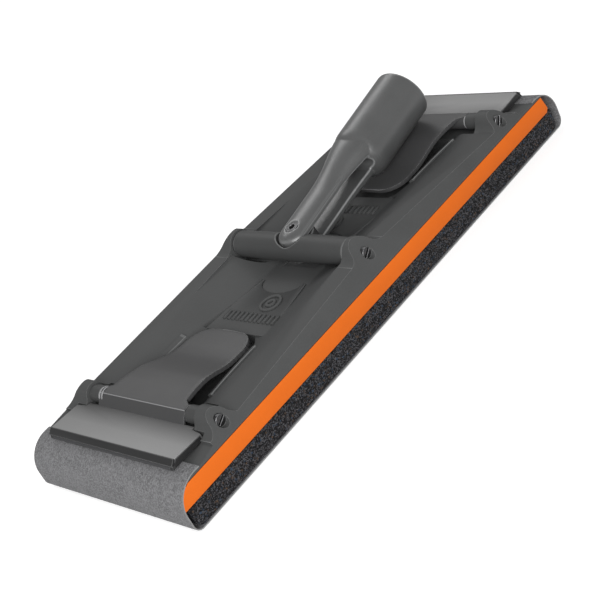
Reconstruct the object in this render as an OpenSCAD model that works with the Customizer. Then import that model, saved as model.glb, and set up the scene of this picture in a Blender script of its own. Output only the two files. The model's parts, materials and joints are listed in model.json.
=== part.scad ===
// Pole drywall sander head. Millimetres, +Z up, origin at the bottom centre of the head.
// +X runs along the head to its far end, and the pole socket lies over that end.

/* [Head] */
// Length of the head over the wrapped sandpaper
head_len = 241; // [205:1:290]
// Width of the head
head_w = 88; // [80:1:106]
// Thickness of the sandpaper
paper_t = 0.5; // [0.3:0.1:0.8]
// Height of the black foam pad
foam_h = 9.1; // [7:0.1:11]
// Height of the orange backing block
core_h = 7.9; // [7.6:0.1:9.6]
// Radius that the paper bends over at each end of the head
wrap_r = 11; // [9:0.5:13]

/* [Chassis] */
// Thickness of the chassis at its outer edge
edge_t = 0.9; // [0.8:0.1:1.3]
// Height of the side rails above the core at the middle of the head
rail_h = 7; // [6.2:0.1:7.8]
// Drop of the rails from the middle of the head to the clamp axles
rail_drop = 4; // [3:0.1:4.6]
// Half width of the flat floor between the rails
floor_hw = 14; // [11:0.5:16]
// Depth of the floor below the top of the backing block
floor_drop = 1.2; // [0.8:0.1:1.6]
// Thickness of the chassis wall under the floor and the pockets
wall_t = 1.6; // [1.2:0.1:1.8]
// Depth of the lever pockets below the floor
pocket_drop = 4.4; // [4.2:0.1:4.8]

/* [Axles] */
// Distance of each clamp axle from the middle of the head
clamp_x = 89.2; // [84:0.1:96]
// Height of the clamp axles above the backing block
clamp_up = 4.6; // [4.3:0.1:5.2]
// Height of the swivel axle above the backing block
swivel_up = 6.5; // [6.2:0.1:7.4]
// Radius of the axle shanks
axle_r = 1.5; // [1.2:0.05:1.6]
// Radius of the slotted axle heads
axle_head_r = 2.2; // [1.9:0.1:2.7]
// Radius of the rounded ears that hold the clamp axles
clamp_ear_r = 4.4; // [4:0.1:5]
// Radius of the rounded ears that hold the swivel axle
ear_r = 6; // [5:0.1:6.6]
// Distance between the inner faces of a pair of ears
ear_gap = 63; // [58:0.5:66]

/* [Clamps] */
// Length of a lever from its axle to its tip
lever_len = 43.7; // [38:0.1:50]
// Half width of a lever at its axle
lever_hw = 22; // [19:0.5:23]
// Half width of a lever at its tip
tip_hw = 16.4; // [13:0.1:17.5]
// Sheet thickness of the levers and the jaws
sheet_t = 1.6; // [1.2:0.1:1.8]
// Width of the jaws
jaw_w = 72; // [58:1:74]
// Distance from a clamp axle to the front edge of its jaw
jaw_reach = 20.6; // [19.6:0.1:22]
// Wire diameter of the clamp springs
wire_d = 0.6; // [0.4:0.05:0.65]

/* [Swivel] */
// Radius of the crossbar at its ends
bar_r = 5.4; // [5:0.1:5.6]
// Extra radius of the crossbar at its middle
bar_crown = 0.8; // [0:0.1:1]
// Angle of the pole socket above the head as it lies folded down
pole_angle = 10; // [10:0.5:25]
// Distance of the fork pin from the swivel axle
pin_out = 4.5; // [4.4:0.1:5.6]
// Radius of the fork pin
pin_r = 2; // [1.6:0.1:2.1]
// Thickness of the crossbar tongue between the fork legs
tongue_t = 4.6; // [3.6:0.1:5]
// Width of a fork leg
leg_w = 11.5; // [10:0.5:13]
// Thickness of a fork leg
leg_t = 4.3; // [3.4:0.1:4.6]
// Distance from the fork pin to the mouth of the pole socket
socket_reach = 82; // [76:1:92]
// Length of the cylindrical part of the pole socket
socket_len = 34; // [30:1:40]
// Outer radius of the pole socket
socket_r = 11.9; // [11.6:0.1:12]
// Radius of the bore of the pole socket, at the crests of a 3/4-5 pole thread
bore_r = 9.2; // [8.6:0.1:9.6]
// Depth of the bore of the pole socket
bore_depth = 30; // [22:1:34]

/* [Hidden] */
$fn = 64;

dark = [0.27, 0.27, 0.28];
steel = [0.55, 0.55, 0.56];
run_clear = 0.05;                       // radial running clearance on every axle and pin
side_clear = 0.1;                       // end clearance beside hubs, spacers and washers
eps = 0.01;
big = 400;

half_len = head_len / 2;
half_w = head_w / 2;
wrap_low_r = 3.5;
core_z = paper_t + foam_h;
deck_z = core_z + core_h;               // top of the backing block
shelf_z = deck_z + edge_t;              // shelf that the paper is clamped on
paper_z = shelf_z + paper_t;
cut_x = half_len - 13.5;                // cut edge of the paper on the shelf
floor_z = deck_z - floor_drop;
pocket_z = floor_z - pocket_drop;
rail_z = deck_z + rail_h;
inset_z = deck_z - 1;                   // underside of the chassis inside its lip
inset_w = head_w - 8;

// The rail flanks lean inwards along one plane, which the ears and the axle heads follow.
flank = 0.9;
function flank_y(z) = half_w - flank * (z - shelf_z);
rail_fall = rail_drop / clamp_x;
function rail_at(x) = rail_z - rail_fall * abs(x);
wall_run = 2.5;                         // run of the trough walls for each 1 up
trough_hw = 31;

clamp_z = deck_z + clamp_up;
swivel_z = deck_z + swivel_up;
head_t = 2.2;
head_inset = 0.25;
shank_end = half_w - 8;
ear_in = ear_gap / 2;
ear_fillet = 5;
foot_x = half_len - 14.5;               // where the rails have run down to the shelf
bay_in = clamp_x - 7.2;                 // bay between the rails that the clamp barrel turns in
bay_out = clamp_x + 5.8;
bay_z = floor_z + 0.3;
jaw_bay_hw = jaw_w / 2 + 1;

hub_r = 3.1;
hub_out = lever_hw + 3;
collar_r = hub_r + 0.45;
spacer_r = 2.8;
lever_top = hub_r;                      // top of the lever plate at its root, above the clamp axle
hump_z = lever_top - 0.2;
tip_z = -2.5;                           // top of the lever tip above the clamp axle
lug_z = -4.4;                           // bottom of the lug and the jaw flange, below the clamp axle
lug_hw = 18;
pocket_gap = 2.6;
rivet_y = 12;
rivet_z = -3.45;
rivet_r = 0.5;
rivet_head_r = 0.85;

jaw_top = -0.8;                         // top of the jaw at its root, above the clamp axle
jaw_rise = 1.2;
foot_z = -1.6;                          // seam between the jaw and its grip, above the clamp axle
grip_gap = 0.3;
grip_hw = jaw_w / 2 - 1.4;

pin_clear = pin_r + run_clear;
pin_head_r = pin_r + 0.9;
pin_head_t = 1;
pin_sink = 0.2;                         // the pin heads lie this far below the faces of the legs
leg_in = tongue_t / 2 + 0.65;
leg_out = leg_in + leg_t;
washer_t = 0.45;
tongue_r = 7;
leg_end = 7;                            // the fork legs run this far past the pin
slot_r = leg_end + 0.5;
shoulder = 7;
body_x = socket_reach - socket_len;     // where the shoulder meets the cylinder
crotch_x = body_x - shoulder + 2;

module lie_along_x() { rotate([90, 0, 90]) linear_extrude(height = big, center = true) children(); }
module lie_along_y(w) { rotate([90, 0, 0]) linear_extrude(height = w, center = true) children(); }
module y_rod(r, y0, y1) { translate([0, y1, 0]) rotate([90, 0, 0]) cylinder(r = r, h = y1 - y0); }
module far_end() { rotate([0, 0, 180]) children(); }
module both_ends() { children(); far_end() children(); }
module both_sides() { children(); mirror([0, 1, 0]) children(); }
module at_clamp() { translate([-clamp_x, 0, clamp_z]) children(); }
module at_pole() { translate([0, 0, swivel_z]) rotate([0, -pole_angle, 0]) children(); }
module at_pin() { at_pole() translate([pin_out, 0, 0]) children(); }
module along_pole(x) { translate([x, 0, 0]) rotate([0, 90, 0]) children(); }
module both_faces() { children(); rotate([180, 0, 0]) children(); }

// Side view of the wrapped head, set in by t all round
module wrap_outline(t) {
    top_x = half_len - wrap_r;
    intersection() {
        translate([-half_len, t]) square([head_len, paper_z - 2 * t]);
        union() {
            translate([-top_x, 0]) square([2 * top_x, paper_z]);
            translate([-half_len + t, wrap_low_r]) square([head_len - 2 * t, paper_z - wrap_r - wrap_low_r]);
            for (s = [-1, 1]) {
                translate([s * top_x, paper_z - wrap_r]) circle(r = wrap_r - t);
                translate([s * (half_len - wrap_low_r), wrap_low_r]) circle(r = wrap_low_r - t);
            }
        }
    }
}

module sandpaper() {
    color([0.52, 0.52, 0.53]) lie_along_y(head_w) difference() {
        wrap_outline(0);
        wrap_outline(paper_t);
        translate([-cut_x, core_z]) square([2 * cut_x, core_h * 2]);
    }
}

module foam_pad() {
    color([0.14, 0.14, 0.15]) lie_along_y(head_w) intersection() {
        wrap_outline(paper_t);
        translate([-half_len + 2.2, paper_t]) square([head_len - 5.8, foam_h]);
    }
}

// Plan of a lever between its axle and its tip, grown by g
module lever_plan(g) {
    end_x = -clamp_x + lever_len;
    half = [[-clamp_x - hub_r, lever_hw + g], [-clamp_x + 12, tip_hw + 2.4 + g], [end_x - 11, tip_hw + g],
            [end_x - 5.5, tip_hw - 1.2 + g], [end_x - 2.2, tip_hw - 3.4 + g],
            [end_x + g, tip_hw - 7 + g * 0.7]];
    mirrored = [for (i = [len(half) - 1:-1:0]) [half[i][0], -half[i][1]]];
    polygon(concat(half, mirrored));
}

module trough_outline(drop, z) {
    rise = trough_hw - floor_hw;
    polygon([[-floor_hw - drop, z], [floor_hw + drop, z], [trough_hw + drop, z + rise / wall_run],
             [trough_hw + drop, z + big], [-trough_hw - drop, z + big],
             [-trough_hw - drop, z + rise / wall_run]]);
}

module pocket_space(g, z) {
    intersection() {
        translate([0, 0, z]) linear_extrude(height = big) lever_plan(g);
        translate([-bay_in - eps - g, -half_w, z]) cube([bay_in, head_w, big]);
    }
}

// Everything of the chassis that lies in the top of the backing block
module chassis_keel() {
    intersection() {
        union() {
            translate([-half_len, -inset_w / 2, inset_z]) cube([head_len, inset_w, big]);
            intersection() {
                lie_along_x() trough_outline(wall_t, floor_z - wall_t);
                translate([-bay_out - wall_t, -half_w, 0]) cube([2 * (bay_out + wall_t), head_w, big]);
            }
            both_ends() pocket_space(pocket_gap + wall_t, pocket_z - wall_t);
        }
        translate([-half_len, -half_w, 0]) cube([head_len, head_w, deck_z]);
    }
}

module backing_block() {
    far_x = half_len - 5.5;
    color([0.93, 0.45, 0.16]) difference() {
        lie_along_y(head_w) intersection() {
            wrap_outline(paper_t);
            polygon([[-half_len, core_z], [far_x - 1.4, core_z], [far_x, core_z + 1.6], [far_x - 1.9, deck_z],
                     [-half_len, deck_z]]);
        }
        chassis_keel();
    }
}

// Side view of the chassis: shelves at the ends and rails that peak at the middle
module roof_outline() {
    polygon([[-half_len, inset_z - big / 8], [half_len, inset_z - big / 8], [half_len, shelf_z],
             [foot_x, shelf_z], [bay_out + 1, rail_at(bay_out) - 0.6], [clamp_x, rail_at(clamp_x)], [0, rail_z],
             [-clamp_x, rail_at(clamp_x)], [-bay_out - 1, rail_at(bay_out) - 0.6], [-foot_x, shelf_z],
             [-half_len, shelf_z]]);
}

// Side view of one ear of radius r with its concave fillets down to a base line
module ear_outline(r, base) {
    reach = sqrt(pow(r + ear_fillet, 2) - pow(base + ear_fillet, 2));
    blend = ear_fillet / (r + ear_fillet);
    circle(r = r);
    difference() {
        translate([-reach, base - 2]) square([2 * reach, (base + ear_fillet) * (1 - blend) - base + 2]);
        for (s = [-1, 1]) translate([s * reach, base + ear_fillet]) circle(r = ear_fillet);
    }
}

module ear(x, z, r, base) {
    translate([x, 0, z]) lie_along_y(head_w) ear_outline(r, base);
}

// Everything between the flank planes and above height z
module rail_prism(z) {
    tall = 30;
    top_y = flank_y(shelf_z + tall);
    lie_along_x() polygon([[-half_w, z], [half_w, z], [half_w, shelf_z], [top_y, shelf_z + tall],
                           [-top_y, shelf_z + tall], [-half_w, shelf_z]]);
}

module ears() {
    base_x = 4;
    difference() {
        intersection() {
            union() {
                ear(0, swivel_z, ear_r, rail_at(2 * base_x) - swivel_z);
                for (s = [-1, 1]) ear(s * clamp_x, clamp_z, clamp_ear_r, rail_at(clamp_x + base_x) - clamp_z);
            }
            rail_prism(deck_z);
        }
        translate([-half_len, -ear_in, 0]) cube([head_len, 2 * ear_in, big]);
    }
}

module deck() {
    intersection() {
        lie_along_y(head_w) intersection() {
            roof_outline();
            union() {
                wrap_outline(paper_t);
                translate([-foot_x, deck_z]) square([2 * foot_x, big]);
            }
            translate([-half_len, deck_z]) square([head_len, big]);
        }
        rail_prism(deck_z);
    }
}

module axle_hole(x, z) {
    head_y = flank_y(z) - head_inset;
    translate([x, 0, z]) {
        y_rod(axle_r + run_clear, -half_w - 1, shank_end + 0.5);
        y_rod(axle_head_r + run_clear, -half_w - 1, -head_y + head_t);
        y_rod(axle_head_r + 0.2, -half_w - 1, -head_y);
    }
}

// Hollows in the top of the chassis: trough, pockets, barrel bays, jaw bays and the crossbar bay
module chassis_hollows() {
    bar_bay_r = bar_r + bar_crown + 0.8;
    fork_bay_r = sqrt(pow(leg_out, 2) + pow(leg_end - pin_out, 2)) + 0.6;
    intersection() {
        lie_along_x() trough_outline(0, floor_z);
        translate([-bay_out, -half_w, 0]) cube([2 * bay_out, head_w, big]);
    }
    translate([0, 0, swivel_z]) y_rod(bar_bay_r, -ear_in, ear_in);
    translate([0, 0, swivel_z]) y_rod(fork_bay_r, -leg_w * 0.8, leg_w * 0.8);
    both_ends() {
        pocket_space(pocket_gap, pocket_z);
        translate([-bay_out, -ear_in, bay_z]) cube([bay_out - bay_in, 2 * ear_in, big]);
        translate([-half_len, -jaw_bay_hw, shelf_z]) cube([half_len - bay_out, 2 * jaw_bay_hw, big]);
    }
}

module chassis() {
    color(dark) difference() {
        union() {
            deck();
            ears();
            intersection() {
                chassis_keel();
                lie_along_y(head_w) wrap_outline(paper_t);
            }
        }
        chassis_hollows();
        axle_hole(0, swivel_z);
        for (s = [-1, 1]) axle_hole(s * clamp_x, clamp_z);
    }
}

// Slotted pivot screw: the head sits in the flank and the shank ends in the left ear
module axle(x, z) {
    head_y = flank_y(z) - head_inset;
    slot_w = 0.9;
    slot_d = 1;
    color(steel) translate([x, 0, z]) difference() {
        union() {
            y_rod(axle_r, -head_y, shank_end);
            y_rod(axle_head_r, -head_y, -head_y + head_t);
        }
        rotate([0, 12, 0]) translate([-slot_w / 2, -head_y - 1, -ear_r]) cube([slot_w, slot_d + 1, 2 * ear_r]);
    }
}

module near_axle() { axle(-clamp_x, clamp_z); }
module far_axle() { axle(clamp_x, clamp_z); }
module swivel_axle() { axle(0, swivel_z); }

// Side view of the lever plate, from its root over the axle to its tip, with the lug under the axle
module lever_outline() {
    t = sheet_t;
    knee = lever_len - 11.5;
    tip = lever_len;
    top = [[0, lever_top], [11, hump_z], [knee, tip_z + 0.3], [tip - 2, tip_z + 0.1], [tip - 0.6, tip_z - 0.4],
           [tip, tip_z - 1.4]];
    under = [[tip - t, tip_z - 1.7], [tip - 2.2, tip_z - t + 0.1], [knee - 0.3, tip_z + 0.3 - t],
             [10.6, hump_z - t], [0, lever_top - t]];
    polygon(concat(top, under));
}

module spring_room() {
    room_r = axle_r + wire_d + 0.3;
    room_hw = 5.2;
    y_rod(room_r, -room_hw, room_hw);
    translate([-hub_r - 1, -room_hw, lug_z - 1]) cube([2 * hub_r + 2, 2 * room_hw, -lug_z + 1]);
    translate([0, -room_hw, -1]) cube([hub_r + 1, 2 * room_hw, hump_z - sheet_t + 1]);
}

module lever() {
    collar_w = 0.7;
    color(dark) difference() {
        union() {
            intersection() {
                at_clamp() lie_along_y(head_w) lever_outline();
                linear_extrude(height = big) lever_plan(0);
            }
            at_clamp() {
                y_rod(hub_r, -hub_out, hub_out);
                translate([-hub_r, -lug_hw, lug_z]) cube([sheet_t, 2 * lug_hw, -lug_z]);
                both_sides() for (i = [0, 1])
                    y_rod(collar_r, hub_out - collar_w - i * 2 * collar_w, hub_out - i * 2 * collar_w);
            }
        }
        at_clamp() {
            y_rod(axle_r + run_clear, -half_w, half_w);
            spring_room();
            both_sides() rivet_hole();
        }
    }
}

module near_lever() { lever(); }
module far_lever() { far_end() lever(); }

module rivet_hole() {
    translate([-2 * hub_r, rivet_y, rivet_z]) rotate([0, 90, 0]) cylinder(r = rivet_r, h = 2 * hub_r, $fn = 24);
}

// Side view of a jaw, from the flange on the lug to the foot over the paper
module jaw_outline() {
    t = sheet_t;
    front = jaw_top + jaw_rise;
    polygon([[-hub_r, jaw_top], [-jaw_reach, front], [-jaw_reach - 1.7, foot_z + 0.4],
             [-jaw_reach - 1.7, foot_z], [-jaw_reach + 3, foot_z], [-jaw_reach + 3.6, front - t - 0.25],
             [-hub_r - t, jaw_top - t], [-hub_r - t, lug_z], [-hub_r, lug_z]]);
}

module jaw_plan() {
    hw = jaw_w / 2;
    step = hub_r + sheet_t;
    half = [[-jaw_reach - 3, hw], [-7, hw], [-6.2, ear_in - 0.7], [-step, ear_in - 1],
            [-step, lug_hw], [0, lug_hw]];
    mirrored = [for (i = [len(half) - 1:-1:0]) [half[i][0], -half[i][1]]];
    polygon(concat(half, mirrored));
}

module jaw() {
    color([0.57, 0.57, 0.57]) at_clamp() difference() {
        intersection() {
            lie_along_y(head_w) jaw_outline();
            translate([0, 0, -20]) linear_extrude(height = 40) jaw_plan();
        }
        both_sides() rivet_hole();
    }
}

module near_jaw() { jaw(); }
module far_jaw() { far_end() jaw(); }

module grip() {
    bottom = paper_z + grip_gap - clamp_z;
    color([0.2, 0.2, 0.21]) at_clamp() lie_along_y(2 * grip_hw)
        polygon([[-jaw_reach - 1.5, foot_z], [-jaw_reach - 2.2, bottom + 0.4], [-jaw_reach - 1.9, bottom],
                 [-jaw_reach + 2.4, bottom], [-jaw_reach + 2.8, foot_z]]);
}

module near_grip() { grip(); }
module far_grip() { far_end() grip(); }

module rivets() {
    head = 0.5;
    inner = -hub_r + sheet_t;
    outer = -hub_r - sheet_t;
    color(steel) at_clamp() both_sides() translate([0, rivet_y, rivet_z]) rotate([0, 90, 0]) {
        translate([0, 0, outer - head]) cylinder(r = rivet_head_r, h = head, $fn = 24);
        translate([0, 0, outer - head]) cylinder(r = rivet_r, h = inner - outer + head, $fn = 24);
    }
}

module near_rivets() { rivets(); }
module far_rivets() { far_end() rivets(); }

module spacers() {
    color(dark) both_sides() at_clamp() difference() {
        y_rod(spacer_r, hub_out + side_clear, ear_in - side_clear);
        y_rod(axle_r + run_clear, 0, half_w);
    }
}

module near_spacers() { spacers(); }
module far_spacers() { far_end() spacers(); }

// Tube of s sides along a list of points, with closed ends
module tube(path, r, s) {
    n = len(path);
    dirs = [for (i = [0:n - 1]) let (d = path[min(i + 1, n - 1)] - path[max(i - 1, 0)]) d / norm(d)];
    side = [for (d = dirs) let (c = cross(d, [0.05, 1, 0.02])) c / norm(c)];
    rings = [for (i = [0:n - 1], k = [0:s - 1])
                 path[i] + r * (cos(k * 360 / s) * side[i] + sin(k * 360 / s) * cross(dirs[i], side[i]))];
    walls = [for (i = [0:n - 2], k = [0:s - 1])
                 [i * s + k, i * s + (k + 1) % s, (i + 1) * s + (k + 1) % s, (i + 1) * s + k]];
    low = [for (k = [s - 1:-1:0]) k];
    high = [for (k = [0:s - 1]) (n - 1) * s + k];
    polyhedron(rings, concat(walls, [low], [high]), convexity = 10);
}

// Torsion spring around a clamp axle: one leg lifts the lever and the other stands on the chassis
module spring() {
    turns = 5;
    steps = 14;
    coil_r = axle_r + run_clear + 0.05 + wire_d / 2;
    pitch = wire_d * 1.12;
    span = turns * pitch;
    lever_leg = [9.5, span / 2 + 1, hump_z - sheet_t - wire_d / 2 - 0.1];
    floor_leg = [5.8, -span / 2 - 1.2, bay_z - clamp_z + wire_d / 2 + 0.05];
    coil = [for (i = [0:turns * steps])
                let (a = 60 - i * 360 / steps)
                    [coil_r * cos(a), span / 2 - i * pitch / steps, coil_r * sin(a)]];
    last = coil[len(coil) - 1];
    path = concat([lever_leg], [[2.9, span / 2 + 0.5, 0.55]], coil,
                  [[coil_r * 0.9, last[1] - 0.1, coil_r * 0.44], [coil_r, last[1] - 0.3, -0.3]],
                  [[coil_r + 0.3, last[1] - 0.6, -coil_r], [3.2, last[1] - 0.9, -coil_r - 1.5]], [floor_leg]);
    color(steel) at_clamp() tube(path, wire_d / 2, 8);
}

module near_spring() { spring(); }
module far_spring() { far_end() spring(); }

// Crossbar, in the tilted frame of the pole: x along the pole, z along the fork pin
module crossbar() {
    half = ear_in - side_clear - washer_t - side_clear;
    mid_r = bar_r + bar_crown;
    quarter_r = mid_r - bar_crown / 4;
    chamfer = 0.4;
    color(dark) at_pole() difference() {
        union() {
            rotate([90, 0, 0]) rotate_extrude()
                polygon([[0, -half], [bar_r - chamfer, -half], [bar_r, -half + chamfer], [quarter_r, -half / 2],
                         [mid_r, 0], [quarter_r, half / 2], [bar_r, half - chamfer], [bar_r - chamfer, half],
                         [0, half]]);
            translate([pin_out, 0, -tongue_t / 2]) cylinder(r = tongue_r, h = tongue_t);
            translate([0, -tongue_r, -tongue_t / 2]) cube([pin_out, 2 * tongue_r, tongue_t]);
        }
        both_faces() translate([pin_out, 0, tongue_t / 2]) cylinder(r = slot_r, h = ear_r * 2);
        y_rod(axle_r + run_clear, -half_w, half_w);
        translate([pin_out, 0, -ear_r]) cylinder(r = pin_clear, h = 2 * ear_r);
    }
}

module crossbar_washers() {
    color(steel) both_sides() at_pole() difference() {
        y_rod(bar_r - 0.4, ear_in - side_clear - washer_t, ear_in - side_clear);
        y_rod(axle_r + run_clear, 0, half_w);
    }
}

module fork_socket() {
    end_x = leg_w / 2 - leg_end;
    chamfer = 0.8;
    color(dark) at_pin() difference() {
        union() {
            translate([end_x, 0, -leg_out]) cylinder(r = leg_w / 2, h = 2 * leg_out);
            translate([end_x, -leg_w / 2, -leg_out]) cube([body_x - end_x, leg_w, 2 * leg_out]);
            along_pole(body_x - shoulder) cylinder(r1 = leg_out + 0.9, r2 = socket_r, h = shoulder);
            along_pole(body_x) cylinder(r = socket_r, h = socket_len);
        }
        translate([-head_w, -half_w, -leg_in]) cube([head_w + crotch_x - leg_in, head_w, 2 * leg_in]);
        translate([crotch_x - leg_in, 0, 0]) y_rod(leg_in, -half_w, half_w);
        translate([0, 0, -half_w]) cylinder(r = pin_clear, h = head_w);
        both_faces() translate([0, 0, leg_out - pin_head_t - pin_sink])
            cylinder(r = pin_head_r + run_clear, h = half_w);
        along_pole(socket_reach - bore_depth) cylinder(r = bore_r, h = big);
        along_pole(socket_reach - chamfer)
            cylinder(r1 = bore_r, r2 = bore_r + 1.5 * chamfer, h = 1.5 * chamfer);
    }
}

module fork_pin() {
    reach = leg_out - pin_sink;
    color(steel) at_pin() difference() {
        union() {
            translate([0, 0, -reach]) cylinder(r = pin_r, h = 2 * reach);
            both_faces() translate([0, 0, reach - pin_head_t]) cylinder(r = pin_head_r, h = pin_head_t);
        }
        both_faces() translate([0, 0, reach - 3]) cylinder(r = pin_r - 0.8, h = 4);
    }
}

module fork_washers() {
    washer_r = 5.4;
    color(steel) at_pin() both_faces() translate([0, 0, tongue_t / 2 + side_clear]) difference() {
        cylinder(r = washer_r, h = washer_t);
        translate([0, 0, -1]) cylinder(r = pin_clear, h = washer_t + 2);
    }
}

chassis();
backing_block();
foam_pad();
sandpaper();
near_axle();
far_axle();
swivel_axle();
near_lever();
far_lever();
near_jaw();
far_jaw();
near_grip();
far_grip();
near_spring();
far_spring();
near_rivets();
far_rivets();
near_spacers();
far_spacers();
crossbar();
crossbar_washers();
fork_socket();
fork_pin();
fork_washers();
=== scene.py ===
"""Looks of a pole drywall sander head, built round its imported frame.

Lengths inside this file are millimetres, and are turned to metres where a mesh is made.
+X runs along the head to its far end, +Y across it, and +Z up from the sanding face.
"""

import json
import math
from types import SimpleNamespace

import bmesh
import bpy
from bpy.props import FloatProperty, FloatVectorProperty, IntProperty, PointerProperty
from mathutils import Matrix, Vector, noise


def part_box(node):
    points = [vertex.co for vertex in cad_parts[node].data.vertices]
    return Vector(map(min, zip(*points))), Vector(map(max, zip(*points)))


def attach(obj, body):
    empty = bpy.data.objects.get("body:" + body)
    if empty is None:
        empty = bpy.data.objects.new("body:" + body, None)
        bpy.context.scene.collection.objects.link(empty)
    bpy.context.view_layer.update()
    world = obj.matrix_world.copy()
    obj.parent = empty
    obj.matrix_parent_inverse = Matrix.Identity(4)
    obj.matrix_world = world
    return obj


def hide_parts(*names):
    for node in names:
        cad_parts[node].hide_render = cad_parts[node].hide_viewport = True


bl_info = {
    "name": "Pole Sander Looks",
    "version": (1, 0, 0),
    "blender": (4, 5, 0),
    "location": "View3D > Sidebar > Pole Sander",
    "description": "Builds the detailed pieces and finishes of a pole drywall sander head",
    "category": "Add Mesh",
}

MM = 0.001

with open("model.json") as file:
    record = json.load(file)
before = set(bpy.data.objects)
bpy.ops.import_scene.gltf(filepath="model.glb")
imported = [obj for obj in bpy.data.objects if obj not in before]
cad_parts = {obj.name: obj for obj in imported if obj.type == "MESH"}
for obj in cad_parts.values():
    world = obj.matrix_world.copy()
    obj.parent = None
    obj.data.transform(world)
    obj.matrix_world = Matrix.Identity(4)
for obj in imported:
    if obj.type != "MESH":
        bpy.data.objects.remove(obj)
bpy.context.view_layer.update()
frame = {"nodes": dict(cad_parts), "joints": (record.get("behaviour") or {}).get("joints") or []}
JOINTS = {joint["name"]: joint for joint in frame["joints"]}


def node_box(node):
    """Lowest and highest corner of a CAD node, in millimetres."""
    return [Vector(corner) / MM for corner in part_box(node)]


CLAMP_AXLE = Vector(JOINTS["near_clamp_hinge"]["pos_m"]) / MM
SWIVEL_AXLE = Vector(JOINTS["yoke_tilt"]["pos_m"]) / MM
FORK_PIN = Vector(JOINTS["fork_swivel"]["pos_m"]) / MM
PIN_AXIS = Vector(JOINTS["fork_swivel"]["axis"]).normalized()
POLE_AXIS = Vector((0, 1, 0)).cross(PIN_AXIS)

# The trough in the chassis: a flat floor, and walls that rise 1 for each WALL_RUN outwards
FLOOR_Z = SWIVEL_AXLE.z - 7.7
FLOOR_HALF_W = 14.0
WALL_RUN = 2.5

# The levers: half widths at the root and the tip, the part at the tip that doesn't taper,
# the radius of the barrel, and the distance from the axle to the tip
ROOT_HALF_W = 22.0
TIP_HALF_W = 16.4
TIP_STRAIGHT = 11
BARREL_R = 3.1
LEVER_REACH = node_box("near_lever")[1].x - CLAMP_AXLE.x

# The tongue on the crossbar that the fork's legs hold, and the hole for their pin
TONGUE_T = 4.6
PIN_HOLE_R = 2.05


# ---------------------------------------------------------------- properties


def length(name, text, size, low, high):
    """A length property from millimetres, which Blender keeps in metres."""
    return FloatProperty(name=name, description=text, default=size * MM, min=low * MM, max=high * MM,
                         precision=5, subtype="DISTANCE")


def colour(name, text, value):
    """A colour property."""
    return FloatVectorProperty(name=name, description=text, default=value, min=0, max=1, size=3,
                               subtype="COLOR")


class HeadSettings(bpy.types.PropertyGroup):
    """Sizes and colours of the chassis, the block, the foam and the sheet"""

    edge_round: length("Edge round", "Rounding of the chassis edges", 0.4, 0.1, 0.6)
    block_round: length("Block round", "Rounding of the backing block edges", 0.55, 0.1, 0.6)
    foam_round: length("Foam round", "Rounding of the foam pad edges", 0.8, 0.3, 1.5)
    foam_crown: length("Foam crown", "Bulge of the foam pad sides", 0.2, 0, 0.5)
    wrap_radius: length("Wrap radius", "Radius that the sheet bends over at each end", 11, 9, 13)
    toe_radius: length("Toe radius", "Radius of the sheet at the sanding face", 3.5, 2, 5)
    sheet_thickness: length("Sheet thickness", "Thickness of the sanding sheet", 0.5, 0.3, 0.8)
    plastic_colour: colour("Plastic", "Colour of the dark moulded plastic", (0.060, 0.061, 0.061))
    block_colour: colour("Block", "Colour of the backing block", (0.71, 0.142, 0.012))
    foam_colour: colour("Foam", "Colour of the foam pad", (0.012, 0.012, 0.013))
    grit_colour: colour("Grit", "Colour of the sanding sheet", (0.18, 0.18, 0.185))


class ClampSettings(bpy.types.PropertyGroup):
    """Sizes and colours of the two spring clamps"""

    sheet: length("Sheet", "Thickness of the pressed lever", 1.6, 1, 2)
    edge_round: length("Edge round", "Rounding of the lever edges", 0.45, 0.1, 0.7)
    jaw_round: length("Jaw round", "Rounding of the jaw edges", 0.3, 0.1, 0.6)
    lever_colour: colour("Lever", "Colour of the painted levers", (0.062, 0.062, 0.063))
    # The jaws' light grey stands for a painted sheen on their tops
    jaw_sheen_colour: colour("Jaw", "Colour of the painted jaws", (0.25, 0.25, 0.25))
    grip_colour: colour("Grip", "Colour of the rubber grips", (0.05, 0.05, 0.052))


class SwivelSettings(bpy.types.PropertyGroup):
    """Sizes and colours of the crossbar, the fork and its pole socket"""

    cell: length("Cell", "Cell of the cast pieces' meshes", 0.32, 0.2, 0.6)
    relax: IntProperty(name="Relax", description="Smoothing passes on the cast pieces", default=4,
                       min=0, max=20)
    thread_pitch: length("Thread pitch", "Pitch of the pole thread", 5.08, 2, 8)
    thread_depth: length("Thread depth", "Depth of the pole thread", 1.1, 0.4, 2)
    steel_colour: colour("Steel", "Colour of the pivots", (0.085, 0.085, 0.087))


class StageSettings(bpy.types.PropertyGroup):
    """Camera and light"""

    lens: FloatProperty(name="Lens", description="Focal length for a 36 mm sensor", default=81.04,
                        min=20, max=200, unit="CAMERA")
    key_power: FloatProperty(name="Key power", description="Power of the large lamp at the front",
                             default=16, min=0, max=100, unit="POWER")
    rim_power: FloatProperty(name="Rim power", description="Power of the long lamp above and behind",
                             default=1.9, min=0, max=100, unit="POWER")
    fill: FloatProperty(name="Fill", description="Strength of the light from all round", default=0.38,
                        min=0, max=2, subtype="FACTOR")


SETTINGS = {"sander_head": HeadSettings, "sander_clamps": ClampSettings, "sander_swivel": SwivelSettings,
            "sander_stage": StageSettings}


def settings(name):
    """The values of one group of settings, with its lengths in millimetres."""
    group = getattr(bpy.context.scene, name)
    values = {key: getattr(group, key) for key in SETTINGS[name].__annotations__}
    for key in values:
        if group.bl_rna.properties[key].subtype == "DISTANCE":
            values[key] /= MM
    return SimpleNamespace(**values)


# ------------------------------------------------------------------- outlines


def clamp(value):
    """The value kept between 0 and 1."""
    return min(1.0, max(0.0, value))


def ease(t):
    """0 to 1 with a soft start and a soft end."""
    t = clamp(t)
    return t * t * (3 - 2 * t)


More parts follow.
